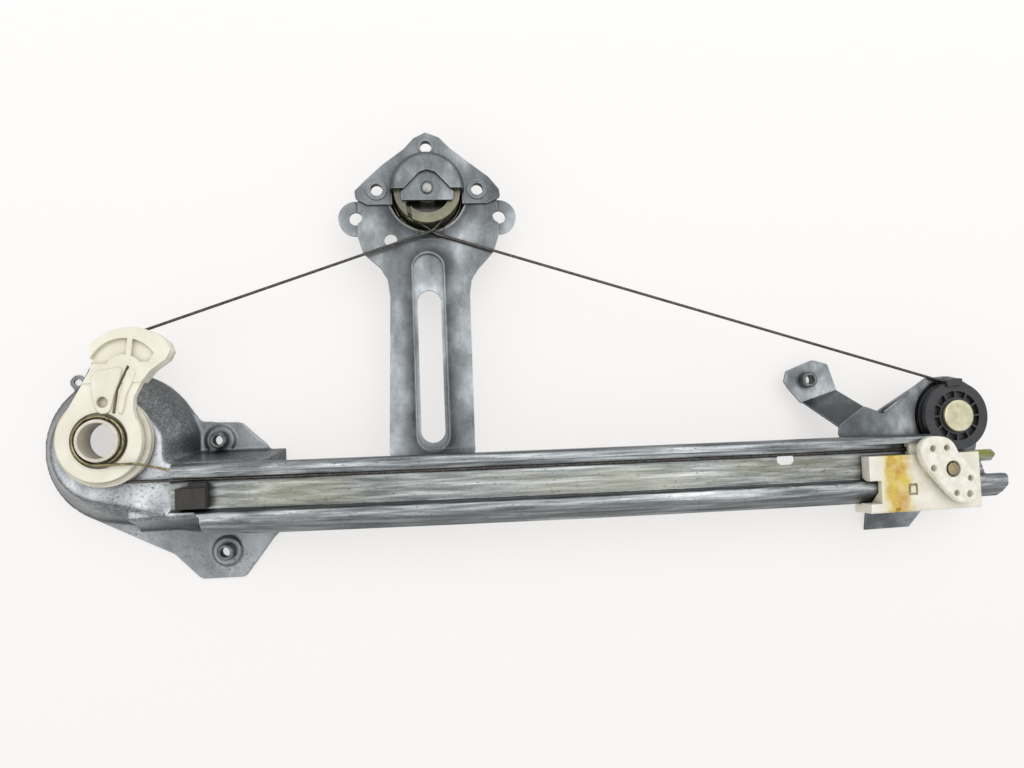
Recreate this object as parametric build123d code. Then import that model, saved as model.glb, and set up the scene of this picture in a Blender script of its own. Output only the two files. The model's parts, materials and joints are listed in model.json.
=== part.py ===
from build123d import *
from math import acos, asin, atan2, cos, degrees, hypot, radians, sin, sqrt
import os

# Cable window regulator, lying on its back on a table.
# X runs along the guide rail, Y from the rail to the winder head, Z away from the table.
# The origin is on the crank spindle's axis, at the end of the spindle. All sizes in mm.

# General clearances
touch_gap = 0.3
fit_gap = 0.05
sheet = 1.5

# Guide rail: one rolled section, bent to the curve of the door glass
rail_radius = 2000.0
crown_x = 78.0
crown_z = 40.0
rail_left = -134.5
rail_right = 317.0
web_end = 313.0
lip_left = -132.4
lip_right = 269.8
flange_left = -119.0
lip_y = -139.75
lip_depth = 4.45
lip_height = 6.75
groove_drop = 0.5
web_top_y = -149.2
web_low_y = -162.9
flange_rise = 3.95
flange_bead = 5.6
flange_low_y = -176.4
flange_drop = 4.6
oval_x = 186.2
oval_length = 10.2
oval_width = 5.8

# Cable
cable_d = 1.5
cable_y = -147.8
cable_float = touch_gap + cable_d / 2 - groove_drop
bend_r = 150.0

# Winder head
plate_top = 25.0
plate_sheet = 2.0
ear_top = 22.0
ear_x = 38.4
ear_y = -13.2
ear_r = 9.3
bolt_hole_r = 3.5
well_r = 21.0
well_floor = 10.0
extra_hole = (-20.1, -25.6)
extra_hole_r = 3.4
notch_width = 15.0

# Arm from the head to the rail
arm_half = 21.6
arm_lean = -1.5
arm_start_y = -50.0
arm_end_y = -139.0
pad_end_y = -165.5
slot_top_y = -52.8
slot_low_y = -134.0
slot_half = 6.2
press_half = 8.2
press_top_y = -33.0
press_low_y = -138.0
press_depth = 1.6

# Cover over the cable drum
cover_sheet = 1.5
eyelets = [(-26.7, 1.0, 5.4), (26.7, 1.0, 5.4), (0.0, 24.1, 4.1)]
eyelet_bore_r = 3.2
eyelet_wall = 0.7
dome_top = 35.0
dome_base_r = 19.9
dome_top_r = 19.5
tongue_top = 33.0
tongue_half = 13.4
tongue_low_y = -6.3
tongue_apex_y = 8.7

# Cable drum, axle, brake and crank spindle
axle_r = 2.95
axle_ring_r = 4.0
axle_end = 33.9
axle_start = 1.6
drum_r = 16.0
drum_rim_r = 17.6
drum_top = 30.5
drum_base = 18.3
groove_pitch = 1.8
drum_grooves = 6
upper_groove = 28.0
brake_top = 17.6
brake_wall = 1.1
brake_wire_d = 1.8
brake_turns = 2.6
claw_gap = 2.2
claw_wall = 7.1
spindle_r = 5.9
journal_r = 6.9
driver_lap = 3.5
driver_sheet = 2.0
spindle_tip = 0.0

# Left end bracket
pan_x = -166.3
pan_y = -131.0
pan_r = 40.5
plateau_r = 27.0
plateau_z = 27.5
plateau_right = -138.0
plateau_top_y = -124.5
plateau_low_y = -164.6
lug_sheet = 1.6
ridge_foot = (-134.2, -176.0)
ridge_top = (-140.6, -164.2)
ridge_right = -90.0
bush_left = [(-115.8, -128.6), (-113.2, -188.3)]
bush_r = 4.4
bush_thread_r = 2.6
bush_height = 5.5
bush_pad_r = 7.6
bush_pad = 1.4
tab_hole_r = 1.8
tab_r = 4.2
tab_angle = 122.8
tab_reach = 2.6

# Left pivot, guide pulley and cable tensioner
pivot_x = -165.4
pivot_y = -126.5
pivot_r = 10.6
pivot_bore_r = 8.9
pivot_top = 41.5
pulley_gap = 0.3
left_groove_z = 30.0
left_flange_r = 23.4
left_pulley_low = 27.8
left_pulley_top = 33.0
lever_low = 33.3
lever_top = 38.0
lever_floor = 1.5
ring_r = 20.6
ring_well_r = 13.9
fan_x = -151.5
fan_y = -94.6
fan_r = 24.2
fan_cable_r = 20.3
fan_low = 27.9
fan_top = 38.6
spring_wire_d = 1.3
spring_r = 11.95
spring_turns = 3
spring_low = 35.7
spring_leg = 19.0

# Right end bracket and pulley
seat_x = 265.0
right_pulley_x = 285.9
right_pulley_y = -130.5
right_flange_r = 18.7
right_pulley_z = 29.9
right_pulley_tilt = 2.7
right_pulley_low = -4.25
right_pulley_top = 4.65
right_pin_r = 4.0
right_head_r = 8.7
cup_r = 20.8
cup_floor = -6.6
guard_sheet = 1.8
guard_r = 19.6
right_lug_top = 10.0
bush_right = (212.6, -107.0)
foot_y = -195.0

# Glass carrier, its clamp plate and the stop
carrier_x = 262.0
carrier_left = 229.5
carrier_right = 296.0
carrier_top_y = -150.6
carrier_low_y = -181.0
carrier_top = 7.5
carrier_bottom = -8.2
slide_gap = 0.35
jaw_y = -171.0
ear_left = 256.0
ear_right = 270.5
clamp_x = 274.5
clamp_y = -158.8
clamp_low = 10.0
clamp_top = 14.6
clamp_pin_r = 2.8
clamp_head_r = 3.4
stop_left = -129.6
stop_right = -114.8
stop_top = 9.0

# Values that follow from the sizes above
drum_turn_y = -21.5
brake_r = well_r - brake_wall - brake_wire_d / 2 - touch_gap
claw_r = brake_r - brake_wire_d / 2 - claw_gap
driver_r = claw_r - claw_wall + driver_lap
axis_z = crown_z - rail_radius
rail_axis = Axis((crown_x, 0, axis_z), (0, 1, 0))
left_cable_r = pivot_y - cable_y
right_cable_r = right_pulley_y - cable_y
pulley_frame = Location((right_pulley_x, right_pulley_y, right_pulley_z), (0, right_pulley_tilt, 0))
section_plane = Plane(origin=(crown_x, 0, crown_z), x_dir=(0, 1, 0), z_dir=(1, 0, 0))


def rail_turn(x):
    """Angle of the rail's surface at x, in degrees."""
    return degrees(asin((x - crown_x) / rail_radius))


def rail_z(x):
    """Height of the rail's web at x."""
    return axis_z + sqrt(rail_radius ** 2 - (x - crown_x) ** 2)


def rail_frame(x):
    """A frame that lies on the rail's web at x, with its own X along the rail."""
    return Location((x, 0, rail_z(x)), (0, rail_turn(x), 0))


def along_rail(section, left, right):
    """Carry a section, drawn as (y, height above the web), along the bent rail."""
    face = section_plane * section
    turned = face.rotate(rail_axis, rail_turn(left))
    return revolve(turned, rail_axis, rail_turn(right) - rail_turn(left))


def prism(sketch, low, high):
    """Extrude a plan outline between two heights."""
    return extrude(Pos(0, 0, low) * sketch, high - low)


def disc(x, y, radius, low, high):
    """An upright cylinder between two heights."""
    return prism(Pos(x, y) * Circle(radius), low, high)


def block(x0, x1, y0, y1, low, high):
    """A box between pairs of coordinates."""
    return prism(Pos((x0 + x1) / 2, (y0 + y1) / 2) * Rectangle(x1 - x0, y1 - y0), low, high)


def area(points, radius=0.0):
    """A plan outline with straight sides and rounded corners."""
    face = make_face(Polyline(*points, close=True))
    if radius:
        face = fillet(face.vertices(), radius)
    return face


def tangent_point(center, radius, point, side):
    """Where a line from point touches a circle, on its left (1) or right (-1) side."""
    dx, dy = point[0] - center[0], point[1] - center[1]
    turn = atan2(dy, dx) + side * acos(radius / hypot(dx, dy))
    return (center[0] + radius * cos(turn), center[1] + radius * sin(turn))


def circle_point(center, radius, angle, z):
    return (center[0] + radius * cos(radians(angle)), center[1] + radius * sin(radians(angle)), z)


def around(center, radius, start, turn, z, corners):
    """Corner points of a path that runs round a circle, from a start angle, at one height."""
    step = turn / corners
    reach = radius / cos(radians(step / 2))
    angles = [start + step * (i + 0.5) for i in range(corners)]
    return [(center[0] + reach * cos(radians(a)), center[1] + reach * sin(radians(a)), z) for a in angles]


def tube(path, diameter):
    """A round wire or cable along a path."""
    start = path @ 0
    section = Plane(origin=start, z_dir=path % 0) * Circle(diameter / 2)
    return sweep(section, path=path)


def section_line():
    """Middle line of the rail's sheet, as (y, height above the web)."""
    half = sheet / 2
    points = [
        (lip_y - lip_depth, lip_height - half),
        (lip_y - half, lip_height - half),
        (lip_y - half, -groove_drop - half),
        (web_top_y + 0.9, -groove_drop - half),
        (web_top_y - 0.9, -half),
        (web_low_y - 0.6, -half),
        (web_low_y - 2.0, flange_rise - half),
        (web_low_y - 2.0 - flange_bead + 1.0, flange_rise - half),
        (flange_low_y + 0.5, -flange_drop + half),
    ]
    return FilletPolyline(*points, radius=[2.2, 1.2, 1.5, 1.5, 1.0, 1.5, 2.2])


def rail_section(thickness):
    return trace(section_line(), thickness)


def make_guide_rail():
    rail = along_rail(rail_section(sheet), rail_left, rail_right)
    far = 30.0
    lip_cut = block(rail_left - far, lip_left, lip_y - lip_depth - 1, lip_y + 2, 20, 60)
    flange_corner = area([(rail_left - far, web_low_y - 1.4), (flange_left - 3, web_low_y - 1.4),
                          (flange_left, web_low_y - 4.4), (flange_left, flange_low_y + 3),
                          (flange_left + 3, flange_low_y - 1), (rail_left - far, flange_low_y - 1)])
    groove_end = block(lip_right, rail_right + far, web_top_y - 0.8, lip_y + 2, 0, 60)
    web_cut = area([(web_end - 3.2, web_top_y), (web_end, web_top_y - 3.2), (web_end, -153.4),
                    (web_end - 3, -156.4), (303.6, -156.4), (305.7, web_low_y - 0.7),
                    (rail_right + far, web_low_y - 0.7), (rail_right + far, web_top_y)])
    corner = area([(rail_right - 3, flange_low_y - 1), (rail_right + 1, flange_low_y - 1),
                   (rail_right + 1, flange_low_y + 4)])
    oval = Pos(oval_x, web_top_y - 1.1) * SlotOverall(oval_length, oval_width)
    for cut in (flange_corner, web_cut, corner, oval):
        rail -= prism(cut, 0, 60)
    return rail - lip_cut - groove_end


def make_bump_stop():
    body = block(stop_left, stop_right, -162.2, -151.8, 20, rail_z(stop_left) + stop_top)
    nub = block(stop_right - 9.2, stop_right, -152.5, -149.3, 20, rail_z(stop_left) + stop_top - 3)
    under = along_rail(Pos(-155, -20) * Rectangle(40, 40), stop_left - 20, stop_right + 20)
    return body + nub - under


def below_rail(x0, x1):
    """Everything above the rail's underside, to trim what the rail sits on."""
    low = -groove_drop - sheet
    return along_rail(Pos(-155, low + 20) * Rectangle(60, 40), x0, x1)


# Winder head
def make_plan_outline():
    """Plan outline of the head's plate and the arm."""
    low_half = arm_half + 0.4
    right = [(37.4, -3.8), (37.8, -24.0), (35.0, -32.0), (26.0, -41.6), (22.3, -48.0), (21.2, -56.0)]
    left = [(-36.8, -3.8), (-37.4, -24.0), (-35.0, -32.0), (-26.0, -40.0), (-22.3, -47.2), (-21.2, -56.0)]
    top = [(-31.4, 5.4), (-22.6, 13.6), (-11.0, 22.6), (-5.8, 28.0), (0, 31.0), (6.6, 28.2), (12.2, 22.4),
           (22.6, 14.2), (32.2, 7.0)]
    foot = [(arm_lean + low_half, arm_end_y - 1), (arm_lean - low_half, arm_end_y - 1)]
    return area(right + foot + left[::-1] + top, 1.5)


def arm_line(y):
    """Height of the arm's upper face at y."""
    rise = rail_z(arm_lean) - groove_drop - sheet - 0.05 - plate_top
    share = (arm_start_y - y) / (arm_start_y - arm_end_y)
    return plate_top + rise * share


def arm_sheet(drop, thickness):
    """Side profile of the flat head plate and the rising arm, as a wide sheet."""
    z0, z1 = plate_top - drop, arm_line(arm_end_y - 2) - drop
    points = [(60, z0), (arm_start_y, z0), (arm_end_y - 2, z1), (arm_end_y - 2, z1 - thickness),
              (arm_start_y, z0 - thickness), (60, z0 - thickness)]
    side = Plane(origin=(-50, 0, 0), x_dir=(0, 1, 0), z_dir=(1, 0, 0)) * area(points)
    return extrude(side, 100)


def slot_area(half, top, low):
    center = Pos(arm_lean / 2, (top + low) / 2)
    return center * Rot(0, 0, 90) * SlotOverall(top - low, 2 * half)


def make_drive_bracket():
    outline = make_plan_outline()
    full = prism(outline, 0, 60)
    plate = arm_sheet(0, plate_sheet) & full
    rim_band = prism(make_face(outline.wire()) - offset(make_face(outline.wire()), -plate_sheet), 0, 60)
    rim_zone = block(-60, 60, arm_start_y + 6, 40, ear_top - plate_sheet, plate_top - 0.5)
    plate += rim_band & rim_zone
    press = prism(slot_area(press_half, press_top_y, press_low_y), 0, 60)
    press_wide = prism(slot_area(press_half + 1.4, press_top_y + 1.4, press_low_y - 1.4), 0, 60)
    pressed = arm_sheet(press_depth, plate_sheet) & press_wide
    plate = plate - press + pressed
    plate -= prism(slot_area(slot_half, slot_top_y, slot_low_y), 0, 60)
    ears = Sketch() + [Pos(s * ear_x, ear_y) * Circle(ear_r) for s in (-1, 1)]
    ears += Pos(0, ear_y) * Rectangle(2 * ear_x, ear_r * 1.3)
    ear_plate = prism(ears, ear_top - plate_sheet, ear_top)
    keep = area([(-36.4, 10), (-37.6, -24), (37.9, -24), (36.4, 10)])
    ear_plate -= prism(offset(keep, -plate_sheet), 0, 60)
    wall = 1.8
    well = disc(0, 0, well_r + wall, well_floor - wall, plate_top)
    plate = plate + ear_plate + well
    plate -= disc(0, 0, well_r, well_floor, 60)
    plate -= disc(0, 0, journal_r + fit_gap, 0, well_floor + 1)
    for s in (-1, 1):
        plate -= disc(s * ear_x, ear_y, bolt_hole_r, 0, 60)
    for x, y, _ in eyelets:
        plate -= disc(x, y, eyelet_bore_r + eyelet_wall, 0, 60)
    plate -= disc(*extra_hole, extra_hole_r, 0, 60)
    plate -= block(-notch_width / 2 + 1.5, notch_width / 2 + 1.5, -25.2, -19, plate_top - 1.2, 60)
    pad_low = -groove_drop - sheet - 0.05 - plate_sheet
    pad_y = (arm_end_y + pad_end_y) / 2 + 1
    pad_section = Pos(pad_y, pad_low + plate_sheet / 2) * Rectangle(arm_end_y - pad_end_y + 2, plate_sheet)
    pad = along_rail(pad_section, arm_lean - arm_half, arm_lean + arm_half)
    return plate + pad


def cover_outline():
    points = [(0, 32.2), (7.2, 29.4), (13, 23.4), (23.5, 15.1), (33.0, 7.9), (38.6, 1.0), (39.2, -3.4),
              (32, -6.6), (-31.6, -6.8), (-38.0, -3.6), (-38.4, 0.6), (-32.5, 6.4), (-23.5, 14.5),
              (-12, 23.0), (-6.4, 29.0)]
    return area(points, 1.6)


def make_drum_cover():
    base = plate_top
    flange = prism(cover_outline(), base, base + cover_sheet)
    top = Plane(origin=(0, 0, dome_top)) * Circle(dome_top_r)
    low = Plane(origin=(0, 0, base)) * Circle(dome_base_r)
    dome = loft([low, top])
    dome = fillet(dome.edges().filter_by(GeomType.CIRCLE).sort_by(Axis.Z)[-1], 3.0)
    wall = cover_sheet
    inner_top = Plane(origin=(0, 0, dome_top - wall)) * Circle(dome_top_r - wall)
    inner_low = Plane(origin=(0, 0, base - 1)) * Circle(dome_base_r - wall)
    hollow = loft([inner_low, inner_top])
    hollow = fillet(hollow.edges().filter_by(GeomType.CIRCLE).sort_by(Axis.Z)[-1], 2.0)
    tongue_plan = area([(-tongue_half, tongue_low_y), (tongue_half, tongue_low_y),
                        (tongue_half + 0.5, -1.9), (4.5, tongue_apex_y - 0.6), (0.2, tongue_apex_y + 0.8),
                        (-4.0, tongue_apex_y - 0.6), (-tongue_half - 0.3, -1.9)], 0.8)
    shoulder = offset(tongue_plan, 1.6)
    lower_half = block(-50, 50, -60, -0.4, base + cover_sheet, 60)
    cap = flange + dome - hollow - lower_half
    cap -= block(-dome_base_r + 1.2, dome_base_r - 1.2, -40, -0.4, 0, 60)
    cap -= prism(tongue_plan, tongue_top, 60)
    tongue = prism(tongue_plan, tongue_top - cover_sheet, tongue_top)
    skirt = prism(shoulder, tongue_top - cover_sheet, dome_top - 0.3) - prism(tongue_plan, 0, 60)
    skirt -= block(-50, 50, -60, -0.4, 0, 60)
    cap = cap + tongue + skirt
    cap -= disc(0, 0, axle_r, 0, 60)
    cap -= disc(0, 0, axle_ring_r, tongue_top - 0.5, 60)
    for x, y, _ in eyelets:
        cap -= disc(x, y, eyelet_bore_r + eyelet_wall, 0, 60)
    return cap


def make_cover_eyelets():
    top = plate_top + cover_sheet
    low = plate_top - plate_sheet
    outer = eyelet_bore_r + eyelet_wall
    body = Part()
    for x, y, flange_r in eyelets:
        ring = disc(x, y, outer, low - 0.5, top + 0.7)
        ring += disc(x, y, flange_r, top, top + 0.7)
        body += ring - disc(x, y, eyelet_bore_r, 0, 60)
    return body


def make_axle_pin():
    pin = disc(0, 0, axle_r, axle_start, axle_end)
    return chamfer(pin.edges().sort_by(Axis.Z)[-1], 0.5)


def make_crank_spindle():
    shaft = disc(0, 0, spindle_r, spindle_tip, well_floor - 1.6)
    journal = disc(0, 0, journal_r, well_floor - 1.7, well_floor + touch_gap)
    flange = disc(0, 0, driver_r, well_floor + touch_gap, well_floor + touch_gap + driver_sheet)
    dog_plan = (Circle(claw_r) - Circle(claw_r - claw_wall)) & Pos(claw_r, 0) * Rectangle(2 * claw_wall, 7)
    dog = prism(dog_plan, well_floor + touch_gap, brake_top - 0.4)
    body = shaft + journal + flange + dog
    return body - disc(0, 0, axle_r + fit_gap, -1, 60)


def make_brake_cup():
    ring = disc(0, 0, well_r - 0.05, well_floor, brake_top)
    return ring - disc(0, 0, well_r - brake_wall, 0, 60)


def make_brake_spring():
    low = well_floor + brake_wire_d / 2 + 0.4
    pitch = brake_wire_d + 0.25
    path = Pos(0, 0, low) * Helix(pitch, pitch * brake_turns, brake_r)
    return tube(path, brake_wire_d)


def drum_profile():
    """Half section of the drum, with one round groove for each turn of cable."""
    body = Pos((axle_r + 0.06 + drum_rim_r) / 2, (drum_base + drum_top) / 2)
    profile = body * Rectangle(drum_rim_r - axle_r - 0.06, drum_top - drum_base)
    for i in range(drum_grooves):
        z = upper_groove - i * groove_pitch
        groove = Pos(drum_r, z) * Circle(cable_d / 2 + 0.1)
        mouth = Pos(drum_r + 2, z) * Rectangle(4, cable_d + 0.2)
        profile -= groove + mouth
    return Plane.XZ * profile


def make_cable_drum():
    drum = revolve(drum_profile(), Axis.Z)
    pocket = (Circle(12.5) - Circle(6.8)) & Pos(0, -10) * Rectangle(22, 12)
    drum -= prism(fillet(pocket.vertices(), 1.0), drum_top - 7, 60)
    drum -= prism(Pos(-9.8, -11.2) * Rot(0, 0, 8) * Rectangle(2.2, 9), drum_top - 4, 60)
    claw_plan = (Circle(claw_r) - Circle(claw_r - claw_wall)) & Pos(-claw_r / 2, 0) * Rectangle(claw_r, 26)
    claw = prism(claw_plan, well_floor + driver_sheet + 1.2, drum_base + 0.5)
    return drum + claw


# Left end bracket
def pan_outline(grow, z):
    """Outline of the pan at one level: a round end and a squared corner by the rail."""
    radius = plateau_r + grow
    p_top = (plateau_right + 0.9 * grow, plateau_top_y + 0.1 * grow)
    p_low = (plateau_right + 0.9 * grow, plateau_low_y - grow)
    center = (pan_x, pan_y)
    a = tangent_point(center, radius, p_top, 1)
    b = tangent_point(center, radius, p_low, -1)
    edges = [ThreePointArc(b, (pan_x - radius, pan_y), a), Line(a, p_top), Line(p_top, p_low), Line(p_low, b)]
    return Pos(0, 0, z) * make_face(Curve() + edges)


def pan_form(inset):
    """The pan as a solid, drawn in by the sheet's thickness for its inside."""
    spread = pan_r - plateau_r
    grow = -inset * 1.1
    top = plateau_z - inset
    low = -1.0 if inset else 0.0
    spread_low = spread * (plateau_z - low) / plateau_z
    form = loft([pan_outline(spread_low + grow, low), pan_outline(grow + inset * 0.49, top)], ruled=True)
    return form


def ridge_form(inset):
    """The ridge that carries the rail's end, with sloping sides."""
    low = -1.0 if inset else 0.0
    top = 36.0
    forms = []
    for z, upper, lower, right in ((low, ridge_foot[0], ridge_foot[1], ridge_right + 9.0),
                                   (top, ridge_top[0], ridge_top[1], ridge_right)):
        x0, x1 = -158.0, right - inset
        y0, y1 = lower + inset, upper - inset
        forms.append(Pos((x0 + x1) / 2, (y0 + y1) / 2, z) * Rectangle(x1 - x0, y1 - y0))
    return loft(forms, ruled=True)


def make_flange_outline():
    center = (pan_x, pan_y)
    upper = (-126.0, -118.0)
    lower = (-140.4, -189.2)
    a = tangent_point(center, pan_r, upper, 1)
    b = tangent_point(center, pan_r, lower, -1)
    right = [a, upper, (-104.5, -119.3), (-91, -132), (-84, -143), (-84, -178), (-88.5, -182.5),
             (-104, -202.8), (-127, -202.8), lower, b]
    face = make_face(Curve() + [Polyline(*right), ThreePointArc(b, (pan_x - pan_r, pan_y), a)])
    corners = [v for v in face.vertices() if v.X > -141 and (v.X, v.Y) != a]
    return fillet(corners, 4.0)


def make_left_bracket():
    plate = prism(make_flange_outline(), 0, lug_sheet)
    tab_x, tab_y, _ = circle_point((pan_x, pan_y), pan_r + tab_reach, tab_angle, 0)
    plate += disc(tab_x, tab_y, tab_r, 0, lug_sheet)
    above = below_rail(rail_left - 40, ridge_right + 30)
    above_low = Pos(0, 0, -sheet) * above
    pan = pan_form(0)
    ridge = ridge_form(0) - above
    inner = pan_form(sheet) + (ridge_form(sheet * 1.2) - above_low)
    bracket = plate + pan + ridge
    for x, y in bush_left:
        bracket += prism(Pos(x, y) * Circle(bush_pad_r), 0, lug_sheet + bush_pad)
    bracket -= inner
    bracket -= disc(tab_x, tab_y, tab_hole_r, -1, 10)
    for x, y in bush_left:
        bracket -= disc(x, y, bush_pad_r - lug_sheet, -1, bush_pad)
        bracket -= disc(x, y, bush_r - 1.0, -1, 20)
    bracket -= disc(pivot_x, pivot_y, pivot_r, 10, 60)
    return bracket


def make_bush(x, y, top):
    """A threaded bush, pressed into its lug from behind."""
    body = disc(x, y, bush_r - 1.0, top - lug_sheet - 0.4, top + bush_height)
    body += disc(x, y, bush_r, top, top + bush_height)
    body = chamfer(body.edges().sort_by(Axis.Z)[-1], 0.6)
    return body - disc(x, y, bush_thread_r, -5, 60)


def make_threaded_bushes():
    body = Part()
    for x, y in bush_left:
        body += make_bush(x, y, lug_sheet + bush_pad)
    return body + make_bush(*bush_right, right_lug_top)


def make_pivot_tube():
    low = plateau_z - sheet
    tube_body = disc(pivot_x, pivot_y, pivot_r, low - 1.2, pivot_top)
    tube_body += disc(pivot_x, pivot_y, pivot_r + 2.2, low - 1.2, low)
    tube_body = chamfer(tube_body.edges().sort_by(Axis.Z)[-1], 0.5)
    return tube_body - disc(pivot_x, pivot_y, pivot_bore_r, 0, 60)


def pulley_profile(bore, groove, flange, low, high, groove_z):
    """Half section of a grooved pulley."""
    width = cable_d / 2 + 0.15
    floor = groove - cable_d / 2 - 0.1
    points = [(bore, low), (flange, low), (flange, groove_z - width - 0.5), (floor, groove_z - width),
              (floor, groove_z + width), (flange, groove_z + width + 0.5), (flange, high), (bore, high)]
    return Plane.XZ * area(points)


def make_left_pulley():
    profile = pulley_profile(pivot_r + fit_gap, left_cable_r, left_flange_r, left_pulley_low,
                             left_pulley_top, left_groove_z)
    return Pos(pivot_x, pivot_y, 0) * revolve(profile, Axis.Z)


def fan_outline():
    """Outline of the tensioner above its ring, with the fan's round edge."""
    left_top = (-169.0, -79.0)
    right_top = (-132.4, -77.9)
    points = [right_top, (-130.4, -82.5), (-132.6, -86.9), (-140.4, -92.6), (-144.9, -98.5),
              (-148.4, -105.5), (-148.8, -111.4), (-147.5, -117.5), (pivot_x, pivot_y),
              (-181.6, -113.5), (-169.0, -91.3), left_top]
    arc = ThreePointArc(left_top, (fan_x, fan_y + fan_r), right_top)
    return make_face(Curve() + [Polyline(*points), arc])


def make_tensioner_lever():
    plan = fan_outline() + Pos(pivot_x, pivot_y) * Circle(ring_r)
    lever = prism(plan, lever_low, lever_top)
    away = Pos(pivot_x, pivot_y) * Circle(ring_r + 5.2)
    fan = fan_outline() - away
    fan -= Pos(-160, -110) * Rectangle(50, 24)
    head = prism(fan, fan_low, fan_top)
    groove = Pos(fan_x, fan_y) * (Circle(40) - Circle(fan_cable_r - cable_d / 2 - 0.1))
    half = cable_d / 2 + 0.35
    head -= prism(groove, left_groove_z - half, left_groove_z + half)
    lever += head
    pocket_ring = Pos(fan_x - 1.5, fan_y + 1.0) * (Circle(17.8) - Circle(9.5))
    pocket = pocket_ring & area([(fan_x - 18, -88.5), (fan_x - 18, -70), (-150.2, -70), (-152.4, -88.5)])
    lever -= prism(pocket, fan_top - 3.2, 60)
    small = pocket_ring & area([(-147.6, -70), (-149.8, -88.0), (-141, -88.0), (-136, -80), (-136, -70)])
    lever -= prism(small, fan_top - 2.2, 60)
    cup = Pos(-163.3, -107.2) * Rot(0, 0, 78) * SlotOverall(10.5, 6.0)
    lever -= prism(cup, lever_top - 2.6, 60)
    split = area([(-151.2, -89.5), (-150.0, -90.2), (-155.6, -101.5), (-157.2, -113.5), (-158.9, -113.2),
                  (-157.0, -101.8)])
    lever -= prism(split, lever_low + 1.2, 60)
    lever -= disc(pivot_x, pivot_y, ring_well_r, lever_low + lever_floor, 60)
    return lever - disc(pivot_x, pivot_y, pivot_r + fit_gap, 0, 60)


def make_tensioner_spring():
    """Coils round the pivot, one leg standing on the lever and one in the rail's lip."""
    pitch = spring_wire_d + 0.2
    coil = Pos(pivot_x, pivot_y, spring_low) * Rot(0, 0, -90) * Helix(pitch, pitch * spring_turns, spring_r)
    hook_z = rail_z(lip_left) + 3.2
    off_coil = (coil @ 1) + (coil % 1) * spring_leg
    leg = FilletPolyline(tuple(coil @ 1), tuple(off_coil), (rail_left, -142.4, hook_z),
                         (lip_left + 8, -142.4, hook_z + 0.9), radius=[9.0, 4.0])
    wire = tube(Wire([coil.edge()] + leg.edges()), spring_wire_d)
    tip_x, tip_y, tip_z = circle_point((pivot_x, pivot_y), spring_r, 62, (coil @ 1).Z - pitch / 2)
    return wire + disc(tip_x, tip_y, spring_wire_d / 2 - 0.1, tip_z, tip_z + 2.0)


# Right end bracket, in the frame of the rail where it is seated
def seat_area(points, radius=0.0):
    """A plan outline given in X and Y of the whole part, moved to the seat's frame."""
    return Pos(-seat_x, 0) * area(points, radius)


def ramp(line_a, line_b, z_a, z_b, thick):
    """A sloping strip between two bend lines."""
    sections = []
    for (p, q), (zp, zq) in ((line_a, z_a), (line_b, z_b)):
        pts = [(*p, zp), (*q, zq), (*q, zq - thick), (*p, zp - thick)]
        sections.append(make_face(Polyline(*pts, close=True)))
    return loft(sections, ruled=True)


def make_right_bracket():
    seat = rail_frame(seat_x)
    top = -groove_drop - sheet - 0.05
    plate_plan = seat_area([(219.5, -133.0), (234.5, -123.4), (242.7, -126.3), (274.5, -109.0),
                            (286, -108.5), (303, -118), (306.5, -131), (303, -148), (296, -166.5),
                            (238, -166.5), (225, -150), (218.5, -138)], 2.0)
    plate = seat * prism(plate_plan, top - sheet, top)
    plate += pulley_frame * disc(0, 0, cup_r + sheet, cup_floor - sheet, -3.6)
    plate -= pulley_frame * disc(0, 0, cup_r, cup_floor, 60)
    plate -= pulley_frame * disc(0, 0, right_pin_r, -60, 60)
    lug = area([(201.0, -101.5), (216.8, -95.6), (225.8, -98.2), (230.6, -114.2), (209.4, -120.6),
                (201.6, -111.2), (199.4, -107.5)], 2.0)
    lug_plate = prism(lug, right_lug_top - sheet, right_lug_top)
    strip = ramp(((209.6, -119.4), (230.0, -113.2)), ((219.8, -134.6), (235.4, -124.2)),
                 (right_lug_top, right_lug_top), (rail_z(219.8) + top, rail_z(235.4) + top), sheet * 1.5)
    foot = ramp(((243, -165.9), (290, -165.9)), ((247, foot_y), (274, foot_y + 0.6)), (16.0, 16.0), (sheet, sheet), sheet)
    web_wall = prism(area([(240.2, -165.0), (293.5, -165.0), (293.5, -166.5), (240.2, -166.5)]), 14.0, 36)
    above = below_rail(200, 310)
    bracket = plate + lug_plate + strip + web_wall - above + foot
    bracket -= disc(*bush_right, bush_r - 1.0, 0, 20)
    return bracket


def make_pulley_guard():
    """Black disc behind the pulley, with a hook that keeps the cable in its groove."""
    guard = disc(0, 0, guard_r, cup_floor, cup_floor + guard_sheet)
    wedge = area([(0, 0), (-9.5, 30), (5.5, 30)])
    band = (Circle(guard_r + 1.0) - Circle(right_flange_r + touch_gap)) & wedge
    guard += prism(band, cup_floor, right_pulley_top + 0.3)
    lip = (Circle(guard_r + 1.0) - Circle(right_flange_r - 2.0)) & wedge
    guard += prism(lip, right_pulley_top + 0.3, right_pulley_top + 1.6)
    guard -= disc(0, 0, right_pin_r, -60, 60)
    return pulley_frame * (guard - block(-14, 1.5, 10, 30, -2.3, 1.6))


def make_right_pulley():
    profile = pulley_profile(right_pin_r + fit_gap, right_cable_r, right_flange_r, right_pulley_low,
                             right_pulley_top, 0)
    wheel = revolve(profile, Axis.Z)
    recess = prism(Circle(13.6) - Circle(10.2), right_pulley_top - 2.4, 60)
    spokes = Part() + [Rot(0, 0, 30 * i) * Pos(12, 0, 0) * Box(6, 1.0, 40) for i in range(12)]
    return pulley_frame * (wheel - (recess - spokes))


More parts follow.
